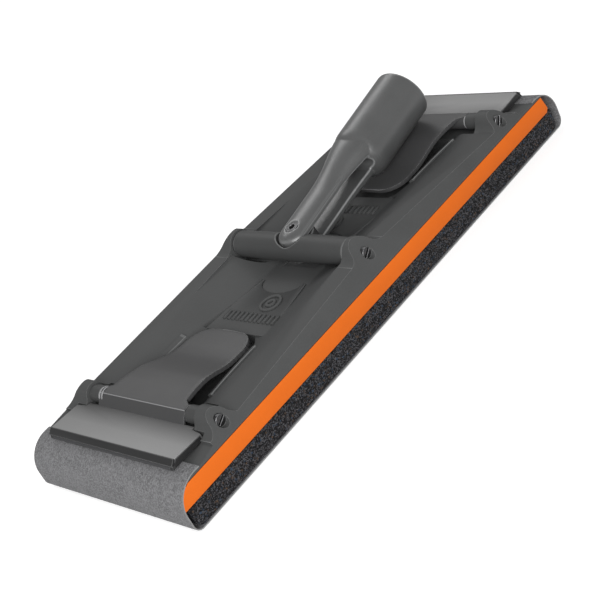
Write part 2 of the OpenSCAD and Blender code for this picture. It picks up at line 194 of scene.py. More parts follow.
def arc(cx, cz, radius, start, end, steps):
    """Points on an arc, with angles in degrees."""
    angles = (math.radians(start + (end - start) * i / steps) for i in range(steps + 1))
    return [(cx + radius * math.cos(a), cz + radius * math.sin(a)) for a in angles]


def circle(radius, count):
    """Points round a circle about the origin."""
    return arc(0, 0, radius, 0, 360, count)[:-1]


def spline(knots, steps):
    """A smooth curve through the knots."""
    points = []
    last = len(knots) - 1
    for i in range(last):
        p0, p1, p2, p3 = (Vector(knots[max(0, min(last, i + d))]) for d in (-1, 0, 1, 2))
        for k in range(steps):
            t = k / steps
            points.append(0.5 * (2 * p1 + (p2 - p0) * t + (2 * p0 - 5 * p1 + 4 * p2 - p3) * t * t
                                 + (3 * p1 - p0 - 3 * p2 + p3) * t ** 3))
    return points + [Vector(knots[-1])]


def direction_at(line, i):
    """Which way a line of points runs at one of them."""
    return (line[min(i + 1, len(line) - 1)] - line[max(i - 1, 0)]).normalized()


def soft_tube(start, end, inner_r, outer_r, soft):
    """Outline of a tube for turned(): a bore, and an outer skin with both corners cut off."""
    return [(start, inner_r), (end, inner_r), (end, outer_r - soft), (end - soft, outer_r),
            (start + soft, outer_r), (start, outer_r - soft)]


# --------------------------------------------------------------------- meshes


def link_mesh(name, mesh):
    """A new object that holds the mesh."""
    mesh.name = name
    piece = bpy.data.objects.new(name, mesh)
    bpy.context.scene.collection.objects.link(piece)
    return piece


def mesh_piece(name, points, faces):
    """A new mesh object from points in millimetres and faces."""
    mesh = bpy.data.meshes.new(name)
    mesh.from_pydata([Vector(p) * MM for p in points], [], faces)
    return link_mesh(name, mesh)


def edit(piece, change):
    """Runs change on the piece's mesh as a bmesh."""
    cells = bmesh.new()
    cells.from_mesh(piece.data)
    change(cells)
    cells.to_mesh(piece.data)
    cells.free()
    piece.data.update()
    return piece


def face_outwards(piece):
    """Merges doubles and turns all faces outwards."""

    def change(cells):
        bmesh.ops.remove_doubles(cells, verts=cells.verts, dist=1e-6)
        bmesh.ops.recalc_face_normals(cells, faces=cells.faces)

    return edit(piece, change)


def bake(piece):
    """Turns the piece's modifiers into plain mesh."""
    bpy.context.view_layer.update()
    graph = bpy.context.evaluated_depsgraph_get()
    mesh = bpy.data.meshes.new_from_object(piece.evaluated_get(graph))
    old = piece.data
    piece.modifiers.clear()
    piece.data = mesh
    mesh.name = old.name
    bpy.data.meshes.remove(old)
    return piece


def merged_copy(node, name):
    """A copy of a CAD node with its doubles merged and its flat faces joined."""
    piece = link_mesh(name, frame["nodes"][node].data.copy())
    piece.data.materials.clear()

    def change(cells):
        bmesh.ops.remove_doubles(cells, verts=cells.verts, dist=2e-6)
        bmesh.ops.dissolve_limit(cells, angle_limit=math.radians(0.4), verts=cells.verts, edges=cells.edges)

    return edit(piece, change)


def round_edges(piece, radius, segments=3, angle=32):
    """Rounds the piece's sharp edges."""
    bevel = piece.modifiers.new("round", "BEVEL")
    bevel.width = radius * MM
    bevel.segments = segments
    bevel.limit_method = "ANGLE"
    bevel.angle_limit = math.radians(angle)
    bevel.miter_outer = "MITER_ARC"
    bevel.harden_normals = True
    for face in piece.data.polygons:
        face.use_smooth = True
    return bake(piece)


def smooth(piece, angle=35):
    """Smooth shading that breaks at edges sharper than the angle."""
    piece.data.shade_smooth()
    piece.data.set_sharp_from_angle(angle=math.radians(angle))
    return piece


def join(name, pieces):
    """One object from several."""
    whole = pieces[0]
    cells = bmesh.new()
    for piece in pieces:
        cells.from_mesh(piece.data)
    cells.to_mesh(whole.data)
    cells.free()
    for piece in pieces[1:]:
        bpy.data.objects.remove(piece)
    whole.name = name
    whole.data.name = name
    return whole


def combine(piece, others, operation):
    """Adds the others to the piece, or cuts them from it."""
    for other in others:
        tool = piece.modifiers.new("combine", "BOOLEAN")
        tool.operation = operation
        tool.solver = "EXACT"
        tool.object = other
    bake(piece)
    for other in others:
        bpy.data.objects.remove(other)
    return piece


def recast(piece, cell, relax):
    """Remakes the piece as one even skin with soft inner corners, as a cast part has."""
    remesh = piece.modifiers.new("skin", "REMESH")
    remesh.mode = "VOXEL"
    remesh.voxel_size = cell * MM
    soften = piece.modifiers.new("soften", "SMOOTH")
    soften.factor = 0.5
    soften.iterations = relax
    bake(piece)
    piece.data.shade_smooth()
    return piece


def turn(piece, matrix):
    """Moves the piece's points by the matrix."""
    piece.data.transform(matrix)
    piece.data.update()
    return piece


def at_end(piece, end):
    """The piece, turned half round about +Z if it is for the far end of the head."""
    return turn(piece, Matrix.Rotation(math.pi, 4, "Z")) if end == "far" else piece


def both_ends(make):
    """What make returns for each end, moved to that end."""
    for end in ("near", "far"):
        yield end, at_end(make(end), end)


def at_clamp(piece):
    """Moves the piece from the clamp's own axes to the near clamp's axle."""
    return turn(piece, Matrix.Translation(CLAMP_AXLE * MM))


def at_pin(piece):
    """Moves the piece from the fork's own axes, x along the pole and z along the pin, to the fork pin."""
    axes = Matrix((POLE_AXIS, (0, 1, 0), PIN_AXIS)).transposed().to_4x4()
    return turn(piece, Matrix.Translation(FORK_PIN * MM) @ axes)


def loft(name, rings, closed_ends=True):
    """A skin through rings of points, each with the same count."""
    count = len(rings[0])
    points = [p for ring in rings for p in ring]
    faces = []
    for i in range(len(rings) - 1):
        for k in range(count):
            n = (k + 1) % count
            faces.append((i * count + k, i * count + n, (i + 1) * count + n, (i + 1) * count + k))
    if closed_ends:
        faces.append(tuple(range(count)))
        faces.append(tuple((len(rings) - 1) * count + k for k in reversed(range(count))))
    return face_outwards(mesh_piece(name, points, faces))


def turned(name, outline, steps=72, axis="X"):
    """A turned solid: outline is a closed list of (along, radius)."""
    rings = []
    for c, s in circle(1, steps) + [(1, 0)]:
        if axis == "X":
            rings.append([(x, r * c, r * s) for x, r in outline])
        else:
            rings.append([(r * c, x, r * s) for x, r in outline])
    return loft(name, rings, closed_ends=False)


def extruded(name, outline, z0, z1):
    """An outline of (x, y) points between two heights."""
    return loft(name, [[(x, y, z) for x, y in outline] for z in (z0, z1)])


def slab(name, outline, y0, y1):
    """An outline of (x, z) points between two places across the head."""
    return loft(name, [[(x, y, z) for x, z in outline] for y in (y0, y1)])


def block(name, low, high):
    """A plain box between two corners, as the start of a shape."""
    corners = [(low[0], low[1]), (high[0], low[1]), (high[0], high[1]), (low[0], high[1])]
    return extruded(name, corners, low[2], high[2])


def set_marks(piece, domain, values):
    """Keeps one value for each face or point, which the finishes read for painted highlights, painted shade
    and the sheet's cut edge.
    """
    layer = piece.data.attributes.new("edge", "FLOAT", domain)
    layer.data.foreach_set("value", values)
    return piece


def mark_edges(piece, above=-100.0):
    """Marks the narrow faces that round the piece's outer edges, above a height, for a painted highlight."""
    start, full, least_width = 0.8, 1.2, 0.05
    cells = bmesh.new()
    cells.from_mesh(piece.data)
    values = []
    for face in cells.faces:
        longest = max(e.calc_length() for e in face.edges)
        width = max(face.calc_area() / max(longest, 1e-9) / MM, least_width)
        long_edges = (e for e in face.edges if len(e.link_faces) == 2 and e.calc_length() > longest / 2)
        bend = max((e.calc_face_angle_signed(0.0) for e in long_edges), default=0.0)
        seen = bend > 0.05 and face.calc_center_median().z > above * MM
        values.append(clamp((bend / width - start) / full) if seen else 0.0)
    cells.free()
    return set_marks(piece, "FACE", values)


def mark_skin(piece, start, full):
    """Marks how sharply an even skin bends outwards at each point, for a painted highlight on its outward
    bends.
    """
    cells = bmesh.new()
    cells.from_mesh(piece.data)
    values = []
    for vert in cells.verts:
        bend = 0.0
        for e in vert.link_edges:
            if len(e.link_faces) == 2:
                width = sum(f.calc_area() for f in e.link_faces) / (2 * max(e.calc_length(), 1e-9)) / MM
                bend = max(bend, e.calc_face_angle_signed(0.0) / max(width, 0.05))
        values.append(clamp((bend - start) / full))
    cells.free()
    return set_marks(piece, "POINT", values)


# ------------------------------------------------------------- geometry nodes


def new_tree(name, inputs):
    """A geometry node tree with a Geometry input, named inputs, a Material input and a Geometry output."""
    tree = bpy.data.node_groups.new(name, "GeometryNodeTree")
    tree.interface.new_socket("Geometry", in_out="INPUT", socket_type="NodeSocketGeometry")
    for label, kind, default in inputs:
        socket = tree.interface.new_socket(label, in_out="INPUT", socket_type="NodeSocket" + kind)
        socket.default_value = default
    tree.interface.new_socket("Material", in_out="INPUT", socket_type="NodeSocketMaterial")
    tree.interface.new_socket("Geometry", in_out="OUTPUT", socket_type="NodeSocketGeometry")
    return tree, tree.nodes.new("NodeGroupInput")


def end_tree(tree, given, geometry):
    """Ends a tree: its copies become real mesh, painted with the Material input."""
    realize, paint = tree.nodes.new("GeometryNodeRealizeInstances"), tree.nodes.new("GeometryNodeSetMaterial")
    out = tree.nodes.new("NodeGroupOutput")
    tree.links.new(geometry, realize.inputs["Geometry"])
    tree.links.new(realize.outputs["Geometry"], paint.inputs["Geometry"])
    tree.links.new(given.outputs["Material"], paint.inputs["Material"])
    tree.links.new(paint.outputs["Geometry"], out.inputs["Geometry"])
    return tree


def coil_of_wire():
    """A tree that makes a coil of round wire about its own z axis."""
    found = bpy.data.node_groups.get("coil_of_wire")
    if found:
        return found
    tree, given = new_tree("coil_of_wire", [("Turns", "Float", 5.0), ("Radius", "Float", 0.002),
                                            ("Height", "Float", 0.004), ("Wire", "Float", 0.0003)])
    add, link = tree.nodes.new, tree.links.new
    spiral, profile = add("GeometryNodeCurveSpiral"), add("GeometryNodeCurvePrimitiveCircle")
    tube = add("GeometryNodeCurveToMesh")
    spiral.inputs["Resolution"].default_value = 28
    profile.inputs["Resolution"].default_value = 12
    tube.inputs["Fill Caps"].default_value = True
    for label, node, socket in (("Turns", spiral, "Rotations"), ("Radius", spiral, "Start Radius"),
                                ("Radius", spiral, "End Radius"), ("Height", spiral, "Height"),
                                ("Wire", profile, "Radius")):
        link(given.outputs[label], node.inputs[socket])
    link(spiral.outputs["Curve"], tube.inputs["Curve"])
    link(profile.outputs["Curve"], tube.inputs["Profile Curve"])
    return end_tree(tree, given, tube.outputs["Mesh"])


def row_of_copies():
    """A tree that makes copies of the piece in a row, each a step from the last."""
    found = bpy.data.node_groups.get("row_of_copies")
    if found:
        return found
    tree, given = new_tree("row_of_copies", [("Count", "Int", 3), ("Start", "Vector", (0, 0, 0)),
                                             ("Step", "Vector", (0, 0.001, 0))])
    line, place = tree.nodes.new("GeometryNodeMeshLine"), tree.nodes.new("GeometryNodeInstanceOnPoints")
    for label, socket in (("Count", "Count"), ("Start", "Start Location"), ("Step", "Offset")):
        tree.links.new(given.outputs[label], line.inputs[socket])
    tree.links.new(line.outputs["Mesh"], place.inputs["Points"])
    tree.links.new(given.outputs["Geometry"], place.inputs["Instance"])
    return end_tree(tree, given, place.outputs["Instances"])


def grow(piece, tree, material, **values):
    """Runs a tree on the piece with values by input name, and keeps the result as plain mesh."""
    modifier = piece.modifiers.new(tree.name, "NODES")
    modifier.node_group = tree
    sockets = {item.name: item.identifier for item in tree.interface.items_tree if item.in_out == "INPUT"}
    modifier[sockets["Material"]] = material
    for label, value in values.items():
        modifier[sockets[label]] = value
    return bake(piece)


# ------------------------------------------------------------------ materials


def new_group(name, inputs, outputs):
    """A shader node group with number inputs and outputs."""
    group = bpy.data.node_groups.new(name, "ShaderNodeTree")
    for label, default in inputs:
        socket = group.interface.new_socket(label, in_out="INPUT", socket_type="NodeSocketFloat")
        socket.default_value = default
    for label in outputs:
        group.interface.new_socket(label, in_out="OUTPUT", socket_type="NodeSocketFloat")
    return group, group.nodes.new("NodeGroupInput"), group.nodes.new("NodeGroupOutput")


def textures(group, given, kinds):
    """Textures on the piece's own coordinates, each with its scale from an input of the group."""
    where = group.nodes.new("ShaderNodeTexCoord")
    made = []
    for kind, scale in kinds:
        texture = group.nodes.new("ShaderNodeTex" + kind)
        group.links.new(where.outputs["Object"], texture.inputs["Vector"])
        group.links.new(given.outputs[scale], texture.inputs["Scale"])
        made.append(texture)
    return made


def moulded_grain():
    """Fine moulded grain over broad, faint mottling."""
    found = bpy.data.node_groups.get("moulded_grain")
    if found:
        return found
    group, given, out = new_group("moulded_grain", [("Fine scale", 2200), ("Broad scale", 55)],
                                  ["Mottle", "Height"])
    fine, broad = textures(group, given, (("Noise", "Fine scale"), ("Noise", "Broad scale")))
    fine.inputs["Detail"].default_value = 3
    broad.inputs["Detail"].default_value = 4
    fine_share = 0.45
    scaled, mix = group.nodes.new("ShaderNodeMath"), group.nodes.new("ShaderNodeMath")
    scaled.operation = "MULTIPLY"
    scaled.inputs[1].default_value = 1 - fine_share
    mix.operation = "MULTIPLY_ADD"
    mix.inputs[1].default_value = fine_share
    group.links.new(broad.outputs["Fac"], scaled.inputs[0])
    group.links.new(fine.outputs["Fac"], mix.inputs[0])
    group.links.new(scaled.outputs[0], mix.inputs[2])
    group.links.new(mix.outputs[0], out.inputs["Mottle"])
    group.links.new(fine.outputs["Fac"], out.inputs["Height"])
    return group


def speckle():
    """Small cells, each with its own value, as in grit or flecked foam."""
    found = bpy.data.node_groups.get("speckle")
    if found:
        return found
    group, given, out = new_group("speckle", [("Scale", 1800), ("Second scale", 900)],
                                  ["Cell", "Blotch", "Height"])
    cells, blotch = textures(group, given, (("Voronoi", "Scale"), ("Noise", "Second scale")))
    blotch.inputs["Detail"].default_value = 2
    split = group.nodes.new("ShaderNodeSeparateColor")
    group.links.new(cells.outputs["Color"], split.inputs["Color"])
    group.links.new(split.outputs["Red"], out.inputs["Cell"])
    group.links.new(blotch.outputs["Fac"], out.inputs["Blotch"])
    group.links.new(cells.outputs["Distance"], out.inputs["Height"])
    return group


def start_material(name, metallic=0.0, specular=0.5):
    """A new material and its Principled shader."""
    material = bpy.data.materials.new(name)
    material.use_nodes = True
    shader = material.node_tree.nodes["Principled BSDF"]
    shader.inputs["Metallic"].default_value = metallic
    shader.inputs["Specular IOR Level"].default_value = specular
    return material, material.node_tree, shader


def use_group(tree, group, **values):
    """A group node in the tree with values by input name."""
    node = tree.nodes.new("ShaderNodeGroup")
    node.node_tree = group
    for label, value in values.items():
        node.inputs[label.replace("_", " ")].default_value = value
    return node


def blend_colours(tree, factor, a, b):
    """Mixes two colours, or colour sockets, by a factor socket."""
    mix = tree.nodes.new("ShaderNodeMix")
    mix.data_type = "RGBA"
    tree.links.new(factor, mix.inputs["Factor"])
    for value, socket in ((a, mix.inputs[6]), (b, mix.inputs[7])):
        if isinstance(value, bpy.types.NodeSocket):
            tree.links.new(value, socket)
        else:
            socket.default_value = (*value, 1.0)
    return mix.outputs[2]


def remap(tree, value, low, high, start=0.0, end=1.0):
    """Maps a value socket from start..end to low..high."""
    node = tree.nodes.new("ShaderNodeMapRange")
    tree.links.new(value, node.inputs["Value"])
    for label, number in (("From Min", start), ("From Max", end), ("To Min", low), ("To Max", high)):
        node.inputs[label].default_value = number
    return node.outputs["Result"]


def add_bump(tree, shader, height, distance, strength):
    """Raises the skin by a height socket."""
    bump = tree.nodes.new("ShaderNodeBump")
    bump.inputs["Distance"].default_value = distance * MM
    bump.inputs["Strength"].default_value = strength
    tree.links.new(height, bump.inputs["Height"])
    tree.links.new(bump.outputs["Normal"], shader.inputs["Normal"])


def marked(tree, plain, painted_light_and_marks):
    """A colour socket that turns to a second colour where the piece is marked: painted highlights, painted
    shade and the sheet's cut edge.
    """
    edge = tree.nodes.new("ShaderNodeAttribute")
    edge.attribute_name = "edge"
    return blend_colours(tree, edge.outputs["Fac"], plain, painted_light_and_marks)


def tinted(colour, share):
    """The colour made lighter or darker by a share."""
    return tuple(min(1.0, c * share) for c in colour)


def shade_along(tree, colour, start, end, share):
    """Darkens a colour socket by a share as painted shade, from one distance off the middle of the head to
    another.
    """
    where, parts, size, shaded = (tree.nodes.new("ShaderNode" + kind)
                                for kind in ("TexCoord", "SeparateXYZ", "Math", "HueSaturation"))
    size.operation = "ABSOLUTE"
    tree.links.new(where.outputs["Object"], parts.inputs[0])
    tree.links.new(parts.outputs["X"], size.inputs[0])
    tree.links.new(remap(tree, size.outputs[0], share, 1.0, start * MM, end * MM), shaded.inputs["Value"])
    tree.links.new(colour, shaded.inputs["Color"])
    return shaded.outputs["Color"]


def satin(name, colour, roughness, edge_share, mottle=0.12, fine=2200, bump=0.12, metallic=0.0,
          specular=0.35, painted_shade=None):
    """A satin finish with faint mottling, fine grain and marked places tinted by a share: lighter for a
    painted highlight, darker for painted shade.
    """
    found = bpy.data.materials.get(name)
    if found:
        return found
    low, high, spread = 0.3, 0.7, 0.07
    material, tree, shader = start_material(name, metallic, specular)
    grain = use_group(tree, moulded_grain(), Fine_scale=fine)
    base = blend_colours(tree, remap(tree, grain.outputs["Mottle"], 0, 1, low, high),
                         tinted(colour, 1 - mottle), tinted(colour, 1 + mottle))
    # Marked places tinted by edge_share: above one a painted highlight on rounded edges, below one painted
    # shade
    painted_light_and_marks = marked(tree, base, tinted(colour, edge_share))
    tree.links.new(shade_along(tree, painted_light_and_marks, *painted_shade) if painted_shade else painted_light_and_marks, shader.inputs["Base Color"])
    rough = remap(tree, grain.outputs["Mottle"], roughness - spread, roughness + spread, low, high)
    tree.links.new(rough, shader.inputs["Roughness"])
    add_bump(tree, shader, grain.outputs["Height"], 0.08, bump)
    return material


def flecked_foam():
    """Closed-cell foam: dark, with pale, warm and cool flecks and small pores."""
    base_colour = settings("sander_head").foam_colour
    warm_colour, cool_colour = (0.085, 0.055, 0.035), (0.03, 0.05, 0.08)
    material, tree, shader = start_material("flecked_foam", specular=0.2)
    fleck = use_group(tree, speckle(), Scale=2700, Second_scale=700)
    second = use_group(tree, speckle(), Scale=1500, Second_scale=400)
    base = blend_colours(tree, remap(tree, fleck.outputs["Cell"], 0, 1, 0.5, 1.0),
                         tinted(base_colour, 0.6), tinted(base_colour, 7.5))
    warm = blend_colours(tree, remap(tree, second.outputs["Cell"], 0, 1, 0.95, 1.0), base, warm_colour)
    cool = blend_colours(tree, remap(tree, second.outputs["Cell"], 1, 0, 0.0, 0.06), warm, cool_colour)
    tree.links.new(cool, shader.inputs["Base Color"])
    tree.links.new(remap(tree, fleck.outputs["Blotch"], 0.8, 1.0), shader.inputs["Roughness"])
    add_bump(tree, shader, fleck.outputs["Height"], 0.3, 0.5)
    return material


def sanding_grit():
    """Sanding grit: pale and dark grains, with a paler cut edge."""
    base_colour, cut_colour = settings("sander_head").grit_colour, (0.25, 0.25, 0.25)
    material, tree, shader = start_material("sanding_grit", specular=0.25)
    grain = use_group(tree, speckle(), Scale=2300, Second_scale=160)
    base = blend_colours(tree, grain.outputs["Cell"], tinted(base_colour, 0.62), tinted(base_colour, 1.42))
    broad = blend_colours(tree, remap(tree, grain.outputs["Blotch"], 0.0, 0.35, 0.4, 0.65), base,
                          tinted(base_colour, 1.25))
    tree.links.new(marked(tree, broad, cut_colour), shader.inputs["Base Color"])
    tree.links.new(remap(tree, grain.outputs["Blotch"], 0.75, 0.95), shader.inputs["Roughness"])
    add_bump(tree, shader, grain.outputs["Height"], 0.25, 0.6)
    return material


def chassis_plastic():
    """Matt moulded plastic."""
    base = settings("sander_head").plastic_colour
    return satin("dark_moulded_plastic", tinted(base, 1.3), 0.58, 2.4, specular=0.16)


def bar_plastic():
    """The crossbar's darker plastic."""
    base = settings("sander_head").plastic_colour
    return satin("crossbar_plastic", tinted(base, 1.08), 0.5, 2.5, specular=0.2)


def socket_plastic():
    """The fork's smooth, glossier plastic, tinted lighter than the chassis as painted light on the socket."""
    base = settings("sander_head").plastic_colour
    # The 1.42 tint stands for the light that falls on the socket
    return satin("smooth_moulded_plastic", tinted(base, 1.42), 0.34, 2.8, bump=0.05, specular=0.75)


def lever_paint():
    """Dark paint on the pressed levers."""
    base = settings("sander_clamps").lever_colour
    return satin("dark_lever_paint", tinted(base, 1.03), 0.42, 4.6, mottle=0.06, bump=0.06, specular=0.28)


def rim_paint():
    """The levers' paint where it is in the jaws' shade."""
    base = settings("sander_clamps").lever_colour
    return satin("dark_rim_paint", tinted(base, 0.42), 0.42, 2.6, bump=0.05)


def jaw_sheen_and_shade():
    """Light grey that stands for a painted sheen on the jaw tops, darkened towards the barrels as painted
    shade.
    """
    near, far, share = abs(CLAMP_AXLE.x) + 5, abs(CLAMP_AXLE.x) + 14, 0.42
    base = settings("sander_clamps").jaw_sheen_colour
    return satin("jaw_painted_sheen_and_shade", base, 0.4, 1.3, mottle=0.04, bump=0.05, painted_shade=(near, far, share))


def grip_rubber():
    """Rubber of the grip strips."""
    return satin("grip_rubber", settings("sander_clamps").grip_colour, 0.6, 1.5, bump=0.3)


def orange_block():
    """The backing block's orange plastic, darkened where it is marked as painted shade in the gaps to the
    chassis and the foam.
    """
    base = settings("sander_head").block_colour
    return satin("orange_block", base, 0.55, 0.06, mottle=0.05, bump=0.1, specular=0.12)


def dark_steel():
    """Blackened steel of the pivots."""
    base = settings("sander_swivel").steel_colour
    return satin("dark_steel", base, 0.36, 2.6, mottle=0.2, fine=900, metallic=0.9)


def finish_piece(piece, material, body, slot, *nodes):
    """Paints the piece, lets it ride on its body and hides the CAD nodes that it stands for."""
    piece.data.materials.clear()
    piece.data.materials.append(material)
    for face in piece.data.polygons:
        face.material_index = 0
    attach(piece, body)
    if nodes:
        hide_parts(*nodes)
    return piece


def steel_part(node, name, radius, body, segments=2, painted_light_and_marks=False):
    """A small steel part of the frame with its edges rounded."""
    piece = round_edges(merged_copy(node, name), radius, segments, 50)
    # Marked edges get a painted highlight from the finish
    if painted_light_and_marks:
        mark_edges(piece)
    finish_piece(piece, dark_steel(), body, "pivot_steel", node)


# -------------------------------------------------------------------- the head


def panel_corners(gap):
    """The near floor panel's outline, narrower towards the crossbar, set in all round by a gap."""
    start, start_half_w, end, end_half_w = -43.2, 17.9, -12, 12.6
    return [(start + gap, -start_half_w + gap), (start + gap, start_half_w - gap),
            (end - gap, end_half_w - gap), (end - gap, -end_half_w + gap)]


def build_chassis():
    """The dark chassis, with a seat in each half of the trough for its floor panel."""
    seat_deep, clear, lowest_highlight = 0.02, 5, 1.6
    piece = round_edges(merged_copy("chassis", "chassis_shell"), settings("sander_head").edge_round)
    seats = both_ends(lambda end: extruded("seat", panel_corners(0.0), FLOOR_Z - seat_deep, FLOOR_Z + clear))
    combine(piece, [seat for end, seat in seats], "DIFFERENCE")
    smooth(piece, 40)
    even = piece.modifiers.new("even", "WEIGHTED_NORMAL")
    even.keep_sharp = True
    bake(piece)
    # Painted highlight on the chassis edges that lie above the backing block
    mark_edges(piece, above=node_box("backing_block")[1].z + lowest_highlight)
    finish_piece(piece, chassis_plastic(), "head", "chassis", "chassis")


def floor_panel(end):
    """A low panel with a hollowed end, two plain raised rings and a row of bars."""
    rise, gap, sunk, soft = 0.5, 0.22, 0.3, 0.15
    hollow_half_w, hollow_deep = 11.0, 7
    ring_x, ring_y, ring_r, ring_w, ring_step, up = -25.2, -4.3, 4.9, 1.2, 2.6, 0.6
    bar_x, bar_y, bar_half_l, bar_half_w, bar_pitch, bar_count = -34.2, 12.2, 2.4, 0.65, 2.45, 12
    top = FLOOR_Z + rise
    corners = panel_corners(gap)
    end_x = corners[2][0]
    hollow = [(end_x - hollow_deep * c, hollow_half_w * s) for c, s in arc(0, 0, 1, 90, -90, 24)]
    panel = round_edges(extruded("panel", corners[:3] + hollow + corners[3:], FLOOR_Z - sunk, top), soft, 2)
    stand = Matrix.Translation(Vector((ring_x, ring_y, top)) * MM) @ Matrix.Rotation(-math.pi / 2, 4, "Y")
    rings = []
    for r in (ring_r, ring_r - ring_step):
        section = [(-up, r - ring_w), (up - soft, r - ring_w), (up, r - ring_w + soft), (up, r - soft),
                   (up - soft, r), (-up, r)]
        rings.append(turn(turned("ring", section, 48), stand))
    bar = round_edges(block("bar", (-bar_half_l, -bar_half_w, -up), (bar_half_l, bar_half_w, up)), soft, 2)
    bars = grow(bar, row_of_copies(), chassis_plastic(), Count=bar_count,
                Start=(bar_x * MM, bar_y * MM, top * MM), Step=(0, -bar_pitch * MM, 0))
    return smooth(join(end + "_floor_panel", [panel, bars] + rings))


def build_floor_panels():
    """The panels in both halves of the trough."""
    for end, piece in both_ends(floor_panel):
        finish_piece(piece, chassis_plastic(), "head", "chassis")


def pocket_ridges(end):
    """A low ridge down each side of a lever pocket, on the sloping walls of the trough."""
    clear, start, from_tip, steps = 3.85, 11, 5.5, 24
    half_w, foot, up, inner_soft, outer_soft = 1.2, 0.6, 0.95, 0.2, 0.3
    section = [(-half_w, -foot), (-half_w, up - inner_soft), (-half_w + inner_soft, up),
               (half_w - outer_soft, up), (half_w, up - outer_soft), (half_w, -foot)]
    ridges = []
    for side in (-1, 1):
        rings = []
        for i in range(steps + 1):
            x = start + (LEVER_REACH - from_tip - start) * i / steps
            t = min(1.0, x / (LEVER_REACH - TIP_STRAIGHT))
            middle = ROOT_HALF_W + (TIP_HALF_W - ROOT_HALF_W) * (1 - (1 - t) ** 2) + clear
            wall = FLOOR_Z + (middle - FLOOR_HALF_W) / WALL_RUN
            rings.append([(x + CLAMP_AXLE.x, side * (middle + dy), wall + dz + dy / WALL_RUN)
                          for dy, dz in section])
        ridges.append(loft("ridge", rings))
    return smooth(join(end + "_pocket_ridges", ridges), 20)


def build_pocket_ridges():
    """The ridges beside both lever pockets."""
    for end, piece in both_ends(pocket_ridges):
        mark_edges(piece)
        finish_piece(piece, chassis_plastic(), "head", "chassis")


def build_block():
    """The orange backing block, with painted shade along the top and the bottom of its sides, in the gaps to
    the chassis and the foam.
    """
    shade_band = 0.5
    radius = settings("sander_head").block_round
    piece = round_edges(merged_copy("backing_block", "backing_block_body"), radius)
    low, high = node_box("backing_block")
    start, end = (low.z + shade_band) * MM, (high.z - shade_band) * MM
    # Faces near the top and the bottom of the sides are marked for the painted shade
    set_marks(piece, "FACE", [float(not start < f.center.z < end) for f in piece.data.polygons])
    finish_piece(piece, orange_block(), "head", "backing_block", "backing_block")


def foam_ring(low, high, inset, toe, y):
    """The foam's side outline, set in all round, at one place across the head."""
    corner, least, steps = 0.9, 0.15, 110
    x0, x1, z0, z1 = low.x + inset, high.x - inset, low.z + inset, high.z - inset
    r, c = max(toe - inset, least), max(corner - inset, least)
    points = arc(x0 + r, z0 + r, r, 180, 270, 8)
    points += [(x0 + r + (x1 - x0 - 2 * r) * i / steps, z0) for i in range(1, steps)]
    points += arc(x1 - r, z0 + r, r, -90, 0, 8)
    points += arc(x1 - c, z1 - c, c, 0, 90, 5)
    points += [(x1 - c - (x1 - x0 - 2 * c) * i / steps, z1) for i in range(1, steps)]
    points += arc(x0 + c, z1 - c, c, 90, 180, 5)
    return [(x, y, z) for x, z in points]


def build_foam():
    """The foam pad: rounded edges, and sides that bulge a little under the block's weight."""
    head = settings("sander_head")
    play, rows, middle_share = 0.03, 12, 1.9
    dent, dent_scale = 0.0012, 180
    edge, crown, toe = head.foam_round, head.foam_crown, head.toe_radius - head.sheet_thickness
    low, high = node_box("foam_pad")
    low, high = low + Vector((play, 0, play)), high - Vector((play, 0, play))
    half_w, half_h = high.y, (high.z - low.z) / 2
    side = [(edge + x, half_w - crown - edge + y) for x, y in arc(0, 0, edge, 180, 90, 6)]
    side += [(edge + (half_h - edge - 0.2) * t, half_w - crown * (1 - t) ** 2)
             for t in (0.25, 0.5, 0.75, 1.0)]
    rings = [foam_ring(low, high, inset, toe, -y) for inset, y in reversed(side)]
    rings += [foam_ring(low, high, 0, toe, half_w * (i / rows - 0.5) * middle_share) for i in range(1, rows)]
    rings += [foam_ring(low, high, inset, toe, y) for inset, y in side]
    piece = loft("foam_pad_body", rings)

    def dimple(cells):
        for vert in cells.verts:
            if abs(vert.co.y) > (half_w - crown - edge * 0.3) * MM:
                vert.co.y *= 1 - dent * (1 + noise.noise(vert.co * dent_scale))

    edit(piece, dimple)
    smooth(piece, 50)
    finish_piece(piece, flecked_foam(), "head", "foam_pad", "foam_pad")


def build_sheet():
    """The sanding sheet: one strip round both ends, whose cut edges lie on the shelves."""
    head = settings("sander_head")
    tail, rows, steps = 13.5, 12, 60
    low, high = node_box("sandpaper")
    big_r, toe, half, half_w = head.wrap_radius, head.toe_radius, head.sheet_thickness / 2, high.y
    bend_x, flat_x, cut_x = high.x - big_r, high.x - toe, high.x - tail
    end = [(bend_x - (bend_x - cut_x) * (1 - i / 3), high.z - half) for i in range(3)]
    end += arc(bend_x, high.z - big_r, big_r - half, 90, 0, 16)
    end += arc(flat_x, low.z + toe, toe - half, 0, -90, 10)
    middle = [(flat_x - 2 * flat_x * i / steps, low.z + half) for i in range(1, steps)]
    line = [Vector(p) for p in end + middle + [(-x, z) for x, z in reversed(end)]]
    path = sum((a - b).length for a, b in zip(line, line[1:]))
    rings = []
    for i, point in enumerate(line):
        along = direction_at(line, i)
        out = Vector((-along.y, along.x)) * half
        across = [-half_w + 2 * half_w * k / rows for k in range(rows + 1)]
        ring = [(point.x + out.x, y, point.y + out.y) for y in across]
        ring += [(point.x - out.x, -y, point.y - out.y) for y in across]
        rings.append(ring)
    piece = smooth(loft("sanding_sheet", rings), 40)
    set_marks(piece, "FACE", [float(abs(f.normal.y) > 0.8) for f in piece.data.polygons])
    finish_piece(piece, sanding_grit(), "head", "sandpaper", "sandpaper")


# ------------------------------------------------------------------ the clamps


